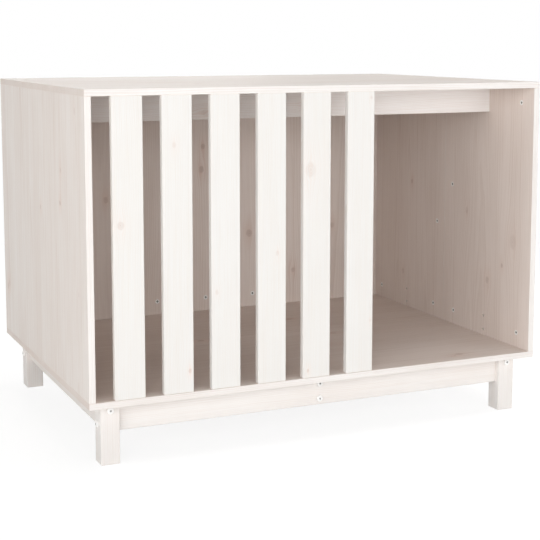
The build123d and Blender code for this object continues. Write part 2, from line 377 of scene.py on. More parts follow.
def stain_nodes(graph: Graph, given: dict[str, bpy.types.NodeSocket]) -> dict[str, Value]:
    """The nodes that lay the stain's colours over the wood, and a painted shade over the box boards' inner
    faces.

    Args:
        graph: The group's tree.
        given: The group's inputs.

    Returns:
        The colour, the roughness and the height of the surface.
    """
    thin = graph.times(given["Cloud"], given["Cloudiness"])
    thin = graph.scaled_plus(given["Tone"], graph.times(given["Cloudiness"], 0.8), thin)
    # Painted shade: the box boards' inner faces get a darker, warmer colour in place of the shade inside the
    # box.
    inner = graph.times(given["Thin"], given["Thin Coat"])
    bed = graph.blend(inner, given["Stain"], given["Coat"])
    bed = graph.blend(graph.times(given["Rim"], 0.7), bed, given["Lime"])
    colour = graph.blend(thin, bed, given["Grain"])
    veil = graph.scaled_plus(given["Cloud"], 0.6, 0.55)
    rings = graph.times(graph.times(given["Rings"], veil), given["Ring Amount"])
    colour = graph.blend(rings, colour, given["Grain"])
    fibre = graph.times(given["Fibre"], given["Fibre Amount"])
    colour = graph.blend(fibre, colour, given["Grain"])
    blush = graph.times(given["Blush"], graph.scaled_plus(given["Rings"], 0.5, 0.3))
    colour = graph.blend(blush, colour, given["Warm"])
    knot = graph.times(given["Knot"], given["Knot Amount"])
    colour = graph.blend(knot, colour, given["Heart"])
    colour = graph.blend(graph.times(given["Glue"], 0.5), colour, given["Grain"])
    colour = graph.blend(graph.times(given["End"], 0.45), colour, given["Grain"])
    colour = graph.blend(graph.times(given["Edge"], given["Wear"]), colour, given["Bare"])
    rough = graph.scaled_plus(given["Rings"], -0.09, 0.6)
    rough = graph.scaled_plus(given["Fibre"], 0.1, rough)
    rough = graph.scaled_plus(given["Edge"], -0.08, rough)
    height = graph.scaled_plus(given["Fibre"], -0.35, graph.times(given["Rings"], 0.5))
    height = graph.scaled_plus(given["Knot"], 0.4, height)
    height = graph.scaled_plus(given["Glue"], -0.6, height)
    return {"Color": colour, "Roughness": rough, "Height": height}


def knot_group() -> bpy.types.NodeTree:
    """The group of one knot."""
    gives = {"Bent": "Vector", "Knot": "Float", "Blush": "Float"}
    takes = {"Position": "Vector", "Centre": "Vector", "Radius": "Float", "Depth": "Float"}
    return shader_group("pine_knot", takes | gives, gives, knot_nodes)


def figure_group() -> bpy.types.NodeTree:
    """The group of rings, fibres and strips."""
    takes = {"Bent": "Vector", "Seed": "Float", "Strip": "Float", "Spacing": "Float", "Pith": "Float"}
    gives = {name: "Float" for name in ("Rings", "Fibre", "Tone", "Glue", "Cloud")}
    return shader_group("pine_figure", takes, gives, figure_nodes)


def edge_group() -> bpy.types.NodeTree:
    """The group of a board's edges and ends."""
    takes = {"Position": "Vector", "Half": "Vector", "Reach": "Float"}
    return shader_group("board_edges", takes, {"Edge": "Float", "End": "Float", "Rim": "Float"}, edge_nodes)


def stain_group() -> bpy.types.NodeTree:
    """The group of the stain's colours, with the painted shade of inner faces."""
    # One mask, one tint and one share below carry the painted shade of the box's inner faces.
    masks = ("Rings", "Fibre", "Tone", "Glue", "Cloud", "Knot", "Blush", "Edge", "End", "Rim", "Thin")
    takes = {name: "Float" for name in masks}
    takes |= {name: "Color" for name in ("Stain", "Grain", "Heart", "Bare", "Coat", "Warm", "Lime")}
    takes |= {name: "Float" for name in ("Cloudiness", "Ring Amount", "Fibre Amount", "Knot Amount", "Wear")}
    takes["Thin Coat"] = "Float"
    gives = {"Color": "Color", "Roughness": "Float", "Height": "Float"}
    return shader_group("white_stain", takes, gives, stain_nodes)


@dataclass(frozen=True)
class Knot:
    """A knot through a board."""

    place: tuple[float, float, float]
    radius: float
    depth: float = 1.0


@dataclass(frozen=True)
class PineFinish:
    """White stain on pine: how much wood shows through it, and a painted shade for inner faces."""

    TINTS: ClassVar[tuple[str, ...]] = ("stain", "grain", "heart", "bare", "coat", "warm", "lime")
    AMOUNTS: ClassVar[tuple[str, ...]] = (
        "cloudiness", "ring_amount", "fibre_amount", "knot_amount", "wear", "thin_coat",
    )
    name: str
    slot: str
    stain: Colour
    grain: Colour
    heart: Colour
    bare: Colour
    warm: Colour = (0.74, 0.56, 0.48)
    lime: Colour = (0.90, 0.885, 0.87)
    # Painted shade: the next colour and its share lay a darker, warmer tone on the box boards' inner faces in
    # place of the shade inside the box.
    coat: Colour = (0.92, 0.77, 0.69)
    thin_coat: float = 0.4
    cloudiness: float = 0.16
    ring_amount: float = 0.4
    fibre_amount: float = 0.24
    knot_amount: float = 0.45
    wear: float = 0.35
    spacing: float = 0.0034
    pith: float = 0.045
    bump: float = 0.25

    def dress(self, board: "Board", seed: int) -> bpy.types.Material:
        """Makes the material of one board.

        Args:
            board: The board, with its grain and knots.
            seed: What sets this board's figure apart from the others.

        Returns:
            The material.
        """
        low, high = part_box(board.node)
        centre = (low + high) / 2
        half = board.grain.order((high - low) / 2)
        material = bpy.data.materials.new(f"{self.name}_{board.node}")
        material.use_nodes = True
        graph = Graph(material.node_tree)
        spot = graph.node("ShaderNodeTexCoord").outputs["Object"]
        spot = graph.node("ShaderNodeMapping", {"Vector": spot, "Location": tuple(-centre)}).outputs[0]
        parts = graph.split(spot)
        position = graph.joined(*board.grain.order(parts))
        bent, mask, blush = position, 0.0, 0.0
        for knot in board.all_knots(low, high, seed):
            along, across, _ = board.grain.order(Vector(knot.place) - centre)
            wires = {"Position": position, "Bent": bent, "Knot": mask, "Centre": (along, across, 0.0)}
            wires |= {"Radius": knot.radius, "Depth": knot.depth, "Blush": blush}
            bend = self._place(graph, knot_group(), wires)
            bent, mask, blush = (bend.outputs[name] for name in ("Bent", "Knot", "Blush"))
        wires = {"Bent": bent, "Seed": float(seed), "Strip": board.strip}
        wires |= {"Spacing": self.spacing, "Pith": self.pith}
        figure = self._place(graph, figure_group(), wires)
        edges = self._place(graph, edge_group(), {"Position": position, "Half": half, "Reach": EDGE_REACH})
        wires = {name: figure.outputs[name] for name in ("Rings", "Fibre", "Tone", "Glue", "Cloud")}
        wires |= {name: edges.outputs[name] for name in ("Edge", "End", "Rim")}
        wires |= {"Knot": mask, "Blush": blush}
        # Mask of a box board's inner face, where the painted shade goes.
        inwards = graph.times(board.grain.order(parts)[2], board.inner_side)
        wires["Thin"] = graph.ramp(inwards, *(half[2] - skin for skin in INNER_SKIN))
        wires |= {name.title(): (*getattr(self, name), 1.0) for name in self.TINTS}
        wires |= {name.replace("_", " ").title(): getattr(self, name) for name in self.AMOUNTS}
        stain = self._place(graph, stain_group(), wires)
        wires = {"Height": stain.outputs["Height"], "Strength": self.bump, "Distance": GRAIN_BUMP}
        bump = graph.node("ShaderNodeBump", wires)
        wires = {"Base Color": stain.outputs["Color"], "Roughness": stain.outputs["Roughness"]}
        wires["Normal"] = bump.outputs[0]
        shader = graph.node("ShaderNodeBsdfPrincipled", wires)
        shader.inputs["Specular IOR Level"].default_value = 0.35
        graph.node("ShaderNodeOutputMaterial", {"Surface": shader.outputs[0]})
        return material

    @staticmethod
    def _place(graph: Graph, group: bpy.types.NodeTree, wires: dict[str, Value]) -> bpy.types.Node:
        """Places a group in a material with its own values."""
        made = graph.node("ShaderNodeGroup", None, node_tree=group)
        for name, value in wires.items():
            graph.wire(value, made.inputs[name])
        return made


@dataclass(frozen=True)
class Board:
    """A wooden CAD node: which way its grain runs, and what shows in it."""

    node: str
    grain: Grain
    knots: tuple[Knot, ...] = ()
    strip: float = 1.0
    extra_knots: int = 0
    # The sign of the board's inner face along its thickness: that face takes the painted shade, and 0 gives
    # none.
    inner_side: float = 0.0

    def all_knots(self, low: Vector, high: Vector, seed: int) -> list[Knot]:
        """The knots that are given, and extra ones at places drawn by the seed.

        Args:
            low: The board's lowest corner.
            high: The board's highest corner.
            seed: The seed of the draw.

        Returns:
            All the board's knots.
        """
        draw = random.Random(seed)
        found = list(self.knots)
        for _ in range(self.extra_knots):
            place = tuple(draw.uniform(a + 0.1 * (b - a), b - 0.1 * (b - a)) for a, b in zip(low, high))
            found.append(Knot(place, draw.uniform(0.003, 0.007), draw.uniform(0.4, 0.9)))
        return found


def grainy(graph: Graph, position: Value, scale: float, low: float, high: float) -> bpy.types.NodeSocket:
    """A roughness that varies finely over a surface, between two values."""
    return graph.ramp(graph.noise(position, scale, 3.0, 0.6), 0.3, 0.7, low, high)


@dataclass(frozen=True)
class FittingFinish:
    """A fitting's surface: metal, paint or turned wood, with its own fine variation."""

    name: str
    slot: str
    colour: Colour
    shade: Colour
    metallic: float
    rough_low: float
    rough_high: float
    scale: float
    bump: float
    # Painted shade: the share of the colour that a recess keeps, so that it reads dark.
    recess: float = 1.0

    def with_recess_shade(self) -> "FittingFinish":
        """The same surface in a driver's recess, darkened as painted shade and made rougher."""
        colour, shade = (tuple(self.recess * part for part in tint) for tint in (self.colour, self.shade))
        name = f"{self.name}_recess"
        return replace(self, name=name, colour=colour, shade=shade, rough_low=0.6, rough_high=0.8)

    def material(self) -> bpy.types.Material:
        """Makes the material, once.

        Returns:
            The material.
        """
        if self.name in bpy.data.materials:
            return bpy.data.materials[self.name]
        material = bpy.data.materials.new(self.name)
        material.use_nodes = True
        graph = Graph(material.node_tree)
        spot = graph.node("ShaderNodeTexCoord").outputs["Object"]
        mottle = graph.ramp(graph.noise(spot, self.scale, 4.0, 0.65), 0.32, 0.7)
        colour = graph.blend(mottle, (*self.colour, 1.0), (*self.shade, 1.0))
        rough = grainy(graph, spot, self.scale * 2.3, self.rough_low, self.rough_high)
        height = graph.noise(spot, self.scale * 3.1, 2.0)
        wires = {"Height": height, "Strength": self.bump, "Distance": FITTING_BUMP}
        bump = graph.node("ShaderNodeBump", wires)
        wires = {"Base Color": colour, "Roughness": rough, "Normal": bump.outputs[0]}
        shader = graph.node("ShaderNodeBsdfPrincipled", wires)
        shader.inputs["Metallic"].default_value = self.metallic
        graph.node("ShaderNodeOutputMaterial", {"Surface": shader.outputs[0]})
        return material


PANEL_PINE = PineFinish(
    name="stained_panel",
    slot="pine_panels",
    stain=(0.865, 0.823, 0.79),
    grain=(0.66, 0.54, 0.47),
    heart=(0.34, 0.22, 0.17),
    bare=(0.86, 0.80, 0.76),
    wear=0.3,
)
SLAT_PINE = PineFinish(
    name="stained_slat",
    slot="pine_slats",
    stain=(0.82, 0.805, 0.785),
    grain=(0.74, 0.66, 0.58),
    heart=(0.52, 0.38, 0.31),
    bare=(0.86, 0.80, 0.75),
    warm=(0.84, 0.72, 0.66),
    cloudiness=0.08,
    ring_amount=0.3,
    spacing=0.003,
)
BATTEN_PINE = PineFinish(
    name="stained_batten",
    slot="pine_battens",
    stain=(0.90, 0.872, 0.855),
    grain=(0.72, 0.61, 0.55),
    heart=(0.42, 0.30, 0.24),
    bare=(0.82, 0.74, 0.68),
)
FRAME_PINE = PineFinish(
    name="stained_frame",
    slot="pine_frame",
    stain=(0.86, 0.832, 0.808),
    grain=(0.72, 0.62, 0.56),
    heart=(0.46, 0.34, 0.28),
    bare=(0.86, 0.80, 0.75),
    ring_amount=0.3,
)
BEECH = FittingFinish(
    "turned_beech", "beech_dowels", (0.62, 0.44, 0.29), (0.5, 0.33, 0.2),
    metallic=0.0, rough_low=0.5, rough_high=0.7, scale=220.0, bump=0.3,
)
# Its cross recess is painted dark: painted shade.
CAM_ZINC = FittingFinish(
    "die_cast_zinc", "cam_zinc", (0.97, 0.955, 0.93), (0.92, 0.9, 0.87),
    metallic=0.1, rough_low=0.3, rough_high=0.45, scale=900.0, bump=0.3, recess=0.1,
)
BOLT_STEEL = FittingFinish(
    "plated_steel", "cam_bolt_steel", (0.66, 0.65, 0.62), (0.55, 0.54, 0.5),
    metallic=1.0, rough_low=0.25, rough_high=0.4, scale=700.0, bump=0.2,
)
# Its hex socket is painted darker: painted shade.
WHITE_ENAMEL = FittingFinish(
    "white_enamel", "white_bolts", (0.93, 0.92, 0.91), (0.89, 0.88, 0.86),
    metallic=0.0, rough_low=0.28, rough_high=0.42, scale=500.0, bump=0.12, recess=0.55,
)
# Its driver slot is painted darker: painted shade.
NUT_ZINC = FittingFinish(
    "plated_nut", "nut_zinc", (0.6, 0.59, 0.57), (0.5, 0.49, 0.46),
    metallic=0.9, rough_low=0.3, rough_high=0.48, scale=800.0, bump=0.3, recess=0.3,
)


def give(node: str, material: bpy.types.Material) -> None:
    """Puts a material in every slot of a CAD node's object, and leaves its mesh alone."""
    for material_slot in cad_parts[node].material_slots:
        material_slot.link = "OBJECT"
        material_slot.material = material


@dataclass
class Woodwork:
    """Boards that share a finish."""

    title: str
    finish: PineFinish
    boards: tuple[Board, ...]
    first_seed: int

    def build(self) -> None:
        """Dresses every board and reports it."""
        for i, board in enumerate(self.boards):
            seed = self.first_seed + i
            give(board.node, self.finish.dress(board, seed))
            LOG.info("%s: %s, seed %d, %d knots named", self.title, board.node, seed, len(board.knots))


def solid_centres(node: str) -> list[Vector]:
    """Finds the middles of the boxes of a CAD node's separate solids.

    Args:
        node: The CAD node, a group of alike fittings.

    Returns:
        One point for each solid, in the mesh's own order.
    """
    work = bmesh.new()
    work.from_mesh(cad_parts[node].data)
    bmesh.ops.remove_doubles(work, verts=work.verts, dist=TOUCH)
    seen: set[bmesh.types.BMVert] = set()
    centres = []
    for seed in work.verts:
        if seed in seen:
            continue
        island, edge_of_search = {seed}, [seed]
        while edge_of_search:
            for edge in edge_of_search.pop().link_edges:
                for vert in edge.verts:
                    if vert not in island:
                        island.add(vert)
                        edge_of_search.append(vert)
        seen |= island
        spots = [vert.co for vert in island]
        low = Vector(min(spot[i] for spot in spots) for i in range(3))
        high = Vector(max(spot[i] for spot in spots) for i in range(3))
        centres.append((low + high) / 2)
    work.free()
    return centres


def facing(direction: Vector, place: Vector) -> Matrix:
    """A transform that turns +Z to a direction and moves the origin to a place."""
    return Matrix.Translation(place) @ direction.to_track_quat("Z", "Y").to_matrix().to_4x4()


def turned(work: bmesh.types.BMesh, profile: Sequence[tuple[float, float]], steps: int) -> None:
    """Turns a profile of radius and height round the Z axis.

    Args:
        work: The mesh that gets the shape.
        profile: The corners of the profile, from the axis or a rim outwards and up.
        steps: The faces round the turn.
    """
    verts = [work.verts.new((radius, 0.0, height)) for radius, height in profile]
    edges = [work.edges.new(pair) for pair in zip(verts, verts[1:])]
    bmesh.ops.spin(
        work, geom=verts + edges, cent=(0, 0, 0), axis=(0, 0, 1), dvec=(0, 0, 0),
        angle=math.tau, steps=steps, use_merge=True, use_duplicate=False,
    )
    bmesh.ops.remove_doubles(work, verts=work.verts, dist=1e-7)


def round_edges(work: bmesh.types.BMesh, radius: float, height: float, offset: float, segments: int) -> None:
    """Bevels the ring of edges at a radius and height.

    Args:
        work: The mesh.
        radius: The ring's radius.
        height: The ring's height.
        offset: The bevel's width.
        segments: The faces across the bevel.
    """
    ring = [
        edge
        for edge in work.edges
        if all(abs(v.co.z - height) < TOUCH and abs(v.co.xy.length - radius) < TOUCH for v in edge.verts)
    ]
    bmesh.ops.bevel(
        work, geom=ring, offset=offset, offset_type="OFFSET", segments=segments, profile=0.5,
        affect="EDGES", material=-1, clamp_overlap=True,
    )


def sink_recess(work: bmesh.types.BMesh, outline: bmesh.types.BMesh, rim_radius: float, depth: float) -> None:
    """Joins a recess of any outline to the open rim of a turned face, closes its floor and gives it the
    second material, a painted shade.

    Args:
        work: The turned mesh, with an open rim.
        outline: A flat face with the recess's outline, at the rim's height.
        rim_radius: The open rim's radius.
        depth: The recess's depth.
    """
    rim = [e for e in work.edges if e.is_boundary and abs(e.verts[0].co.xy.length - rim_radius) < TOUCH]
    carrier = bpy.data.meshes.new("recess_outline")
    outline.to_mesh(carrier)
    outline.free()
    known = set(work.faces)
    work.from_mesh(carrier)
    bpy.data.meshes.remove(carrier)
    floor = [face for face in work.faces if face not in known]
    sides = [edge for face in floor for edge in face.edges if edge.is_boundary]
    walls = bmesh.ops.extrude_face_region(work, geom=floor)
    moved = [item for item in walls["geom"] if isinstance(item, bmesh.types.BMVert)]
    bmesh.ops.translate(work, verts=moved, vec=(0, 0, -depth))
    bmesh.ops.delete(work, geom=floor, context="FACES_ONLY")
    # The recess's walls and floor take the second material, the darker copy that paints the shade.
    for face in work.faces:
        if face not in known:
            face.material_index = 1
    sides = [edge for edge in sides if edge.is_valid]
    bmesh.ops.triangle_fill(work, use_beauty=True, use_dissolve=False, edges=rim + sides, normal=(0, 0, 1))


def piece_of(name: str, stamp: bmesh.types.BMesh, spots: Iterable[Matrix]) -> bpy.types.Object:
    """Makes one piece of a shape repeated at several places.

    Args:
        name: The piece's name.
        stamp: The shape at the origin, facing +Z, which is freed.
        spots: A transform for each copy.

    Returns:
        The piece, at the origin and unturned.
    """
    bmesh.ops.recalc_face_normals(stamp, faces=stamp.faces)
    single = bpy.data.meshes.new(f"{name}_single")
    stamp.to_mesh(single)
    stamp.free()
    whole = bmesh.new()
    for spot in spots:
        known = set(whole.verts)
        whole.from_mesh(single)
        bmesh.ops.transform(whole, matrix=spot, verts=[vert for vert in whole.verts if vert not in known])
    mesh = bpy.data.meshes.new(name)
    whole.to_mesh(mesh)
    whole.free()
    bpy.data.meshes.remove(single)
    piece = bpy.data.objects.new(name, mesh)
    bpy.context.scene.collection.objects.link(piece)
    for polygon in mesh.polygons:
        polygon.use_smooth = True
    mesh.set_sharp_from_angle(angle=math.radians(SMOOTH_ANGLE))
    return piece


def finish_piece(piece: bpy.types.Object, finish: FittingFinish, node: str, count: int) -> None:
    """Dresses a fitting, sets it on the body and lets it stand for its CAD node.

    Args:
        piece: The piece.
        finish: Its surface.
        node: The CAD node that it stands for.
        count: How many fittings it holds.
    """
    piece.data.materials.append(finish.material())
    # The second material darkens the recesses: painted shade.
    piece.data.materials.append(finish.with_recess_shade().material())
    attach(piece, "root")
    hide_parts(node)
    LOG.info("%s stands for %s: %d fittings, %d faces", piece.name, node, count, len(piece.data.polygons))


@dataclass
class CamLocks:
    """Round cam locks, with a thin rim on the wall and a cross recess for the driver."""

    radius: float = 0.0049
    rim_radius: float = 0.0057
    rim_height: float = 0.00035
    barrel: float = 0.0098
    dish: float = 0.0003
    face_radius: float = 0.0034
    cross_long: float = 0.0027
    cross_half: float = 0.0009
    cross_depth: float = 0.004
    steps: int = 32

    def _shape(self) -> bmesh.types.BMesh:
        """Turns the lock and sinks its cross."""
        work = bmesh.new()
        top = self.rim_height
        turned(
            work,
            [
                (0.0, -self.barrel),
                (self.radius, -self.barrel),
                (self.radius, 0.0),
                (self.rim_radius, 0.0),
                (self.rim_radius, top),
                (self.face_radius + 0.0006, top),
                (self.face_radius, top - self.dish),
                (self.cross_long + 0.0003, top - self.dish),
            ],
            self.steps,
        )
        round_edges(work, self.rim_radius, top, 0.0002, 2)
        cross = bmesh.new()
        bmesh.ops.create_grid(cross, x_segments=1, y_segments=1, size=self.cross_half)
        for edge in list(cross.edges):
            middle = (edge.verts[0].co + edge.verts[1].co) / 2
            arm = bmesh.ops.extrude_edge_only(cross, edges=[edge])["geom"]
            verts = [item for item in arm if isinstance(item, bmesh.types.BMVert)]
            reach = self.cross_long - self.cross_half
            bmesh.ops.translate(cross, verts=verts, vec=middle.normalized() * reach)
        bmesh.ops.dissolve_faces(cross, faces=cross.faces)
        bmesh.ops.translate(cross, verts=cross.verts, vec=(0, 0, top - self.dish))
        sink_recess(work, cross, self.cross_long + 0.0003, self.cross_depth)
        return work

    def build(self, name: str, node: str, wall_face: Callable[[Vector], tuple[Vector, Vector]]) -> None:
        """Sets a lock at each of the node's solids.

        Args:
            name: The piece's name.
            node: The CAD node of the locks.
            wall_face: Gives the facing and the point on the wall's face for a lock's middle.
        """
        spots = []
        for i, middle in enumerate(solid_centres(node)):
            direction, place = wall_face(middle)
            spin = Matrix.Rotation(math.radians(17 + 41 * i), 4, "Z")
            spots.append(facing(direction, place) @ spin)
        finish_piece(piece_of(name, self._shape(), spots), CAM_ZINC, node, len(spots))


@dataclass
class SocketBolts:
    """White bolts with a low domed head and a hex socket."""

    shank_radius: float = 0.003
    head_radius: float = 0.0065
    head_height: float = 0.0045
    crown_radius: float = 0.0056
    rim_height: float = 0.0038
    socket_radius: float = 0.0023
    socket_depth: float = 0.0024
    steps: int = 40

    def _shape(self, length: float) -> bmesh.types.BMesh:
        """Turns a bolt of one length below the head and sinks its socket."""
        work = bmesh.new()
        mouth = self.socket_radius + 0.0003
        turned(
            work,
            [
                (0.0, -length),
                (self.shank_radius - 0.0006, -length),
                (self.shank_radius, 0.0006 - length),
                (self.shank_radius, 0.0),
                (self.head_radius, 0.0),
                (self.head_radius, self.rim_height),
                (self.crown_radius, self.head_height),
                (mouth, self.head_height),
            ],
            self.steps,
        )
        round_edges(work, self.head_radius, 0.0, 0.0003, 2)
        round_edges(work, self.head_radius, self.rim_height, 0.0006, 3)
        round_edges(work, self.crown_radius, self.head_height, 0.0005, 3)
        socket = bmesh.new()
        bmesh.ops.create_circle(socket, cap_ends=True, segments=6, radius=self.socket_radius)
        bmesh.ops.translate(socket, verts=socket.verts, vec=(0, 0, self.head_height))
        sink_recess(work, socket, mouth, self.socket_depth)
        return work

    def build(self, name: str, node: str, length: float) -> None:
        """Sets a bolt at each of the node's solids, its head outwards.

        Args:
            name: The piece's name.
            node: The CAD node of the bolts.
            length: From under the head to the shank's end.
        """
        reach = (length + self.head_height) / 2
        low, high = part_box(node)
        spots = []
        for i, middle in enumerate(solid_centres(node)):
            ends = {
                Axis.LEFT: middle.x - low.x,
                Axis.RIGHT: high.x - middle.x,
                Axis.FRONT: middle.y - low.y,
                Axis.BACK: high.y - middle.y,
            }
            side = min(ends, key=lambda axis: abs(ends[axis] - reach))
            seat = middle + side.value * (reach - self.head_height)
            spots.append(facing(side.value, seat) @ Matrix.Rotation(math.radians(11 + 23 * i), 4, "Z"))
        finish_piece(piece_of(name, self._shape(length), spots), WHITE_ENAMEL, node, len(spots))


@dataclass
class BarrelNuts:
    """Cross dowels: short round bars with a driver slot in the end that shows."""

    radius: float = 0.005
    length: float = 0.010
    slot_half: float = 0.0006
    slot_long: float = 0.0032
    slot_depth: float = 0.0012
    steps: int = 32

    def _shape(self) -> bmesh.types.BMesh:
        """Turns a nut about its middle and sinks its slot."""
        work = bmesh.new()
        half = self.length / 2
        mouth = self.slot_long + 0.0002
        turned(
            work,
            [(0.0, -half), (self.radius, -half), (self.radius, half), (mouth, half)],
            self.steps,
        )
        round_edges(work, self.radius, half, 0.0004, 2)
        round_edges(work, self.radius, -half, 0.0004, 2)
        groove = bmesh.new()
        bmesh.ops.create_grid(groove, x_segments=1, y_segments=1, size=self.slot_half)
        stretch = Matrix.Diagonal((self.slot_long / self.slot_half, 1.0, 1.0, 1.0))
        bmesh.ops.transform(groove, matrix=Matrix.Translation((0, 0, half)) @ stretch, verts=groove.verts)
        sink_recess(work, groove, mouth, self.slot_depth)
        return work

    def build(self, name: str, node: str, shows: Callable[[Vector], Vector]) -> None:
        """Sets a nut at each of the node's solids.

        Args:
            name: The piece's name.
            node: The CAD node of the nuts.
            shows: Gives the direction in which a nut's slotted end faces.
        """
        spots = [facing(shows(middle), middle) for middle in solid_centres(node)]
        finish_piece(piece_of(name, self._shape(), spots), NUT_ZINC, node, len(spots))


@dataclass
class PlainFittings:
    """Pins that stay as the CAD model has them."""

    nodes: tuple[str, ...]
    finish: FittingFinish

    def build(self) -> None:
        """Dresses the pins and reports them."""
        for node in self.nodes:
            give(node, self.finish.material())
            LOG.info("pins: %s in %s", node, self.finish.name)


def sideways(point: Vector) -> Vector:
    """The X direction from a point towards the middle of the house."""
    return Vector((-math.copysign(1.0, point.x), 0.0, 0.0))


def lengthways(point: Vector) -> Vector:
    """The Y direction from a point towards the middle of the house."""
    return Vector((0.0, -math.copysign(1.0, point.y), 0.0))


@dataclass
class Hardware:
    """All the fittings of the box and of its leg frame."""

    cams: CamLocks = field(default_factory=CamLocks)
    bolts: SocketBolts = field(default_factory=SocketBolts)
    nuts: BarrelNuts = field(default_factory=BarrelNuts)
    pins: tuple[PlainFittings, ...] = (
        PlainFittings(("slat_dowels", "batten_dowels", "seam_dowels", "leg_dowels", "base_dowels"), BEECH),
        PlainFittings(("cam_bolts_sides", "cam_bolts_back"), BOLT_STEEL),
    )
    leg_bolt_length: float = 0.071
    rail_bolt_length: float = 0.046

    def _side_wall(self, middle: Vector) -> tuple[Vector, Vector]:
        """The facing of a lock in a side wall, and its point on the wall's inner face."""
        low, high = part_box("left_side_board_front")
        inner = high.x if middle.x < 0 else -high.x
        return sideways(middle), Vector((inner, middle.y, middle.z))

    def _back_wall(self, middle: Vector) -> tuple[Vector, Vector]:
        """The facing of a lock in the back wall, and its point on the wall's inner face."""
        low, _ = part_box("back_board_middle")
        return Axis.FRONT.value, Vector((middle.x, low.y, middle.z))

    def _apron_inside(self, middle: Vector) -> Vector:
        """The direction of an apron's inner face at a nut: side aprons hold the nuts far out in X."""
        leg_low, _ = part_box("left_apron")
        in_side_apron = abs(middle.x) > -leg_low.x - 0.02
        return sideways(middle) if in_side_apron else lengthways(middle)

    def build(self) -> None:
        """Makes the fine fittings and dresses the plain ones."""
        self.cams.build("cam_locks_on_sides", "cam_locks_sides", self._side_wall)
        self.cams.build("cam_locks_on_back", "cam_locks_back", self._back_wall)
        self.bolts.build("leg_bolts_domed", "leg_bolts", self.leg_bolt_length)
        self.bolts.build("rail_bolts_domed", "rail_bolts", self.rail_bolt_length)
        self.nuts.build("leg_nuts_slotted", "leg_barrel_nuts", self._apron_inside)
        self.nuts.build("rail_nuts_slotted", "rail_barrel_nuts", lambda middle: Axis.RIGHT.value)
        for group in self.pins:
            group.build()


COOL = (0.975, 0.99, 1.0)
WARM = (1.0, 0.985, 0.965)
PURE_WHITE = (1.0, 1.0, 1.0, 1.0)
BLACK = (0.0, 0.0, 0.0, 1.0)


@dataclass
class Lamp:
    """A soft rectangular lamp that looks at the house."""

    name: str
    place: tuple[float, float, float]
    size: tuple[float, float]
    power: float
    colour: Colour
    aim: tuple[float, float, float] = (0.0, 0.0, 0.4)

    def build(self) -> None:
        """Hangs the lamp."""
        light = bpy.data.lights.new(self.name, "AREA")
        light.shape = "RECTANGLE"
        light.size, light.size_y = self.size
        light.energy = self.power
        light.color = self.colour
        holder = bpy.data.objects.new(self.name, light)
        holder.location = self.place
        holder.rotation_euler = (Vector(self.aim) - Vector(self.place)).to_track_quat("-Z", "Y").to_euler()
        bpy.context.scene.collection.objects.link(holder)


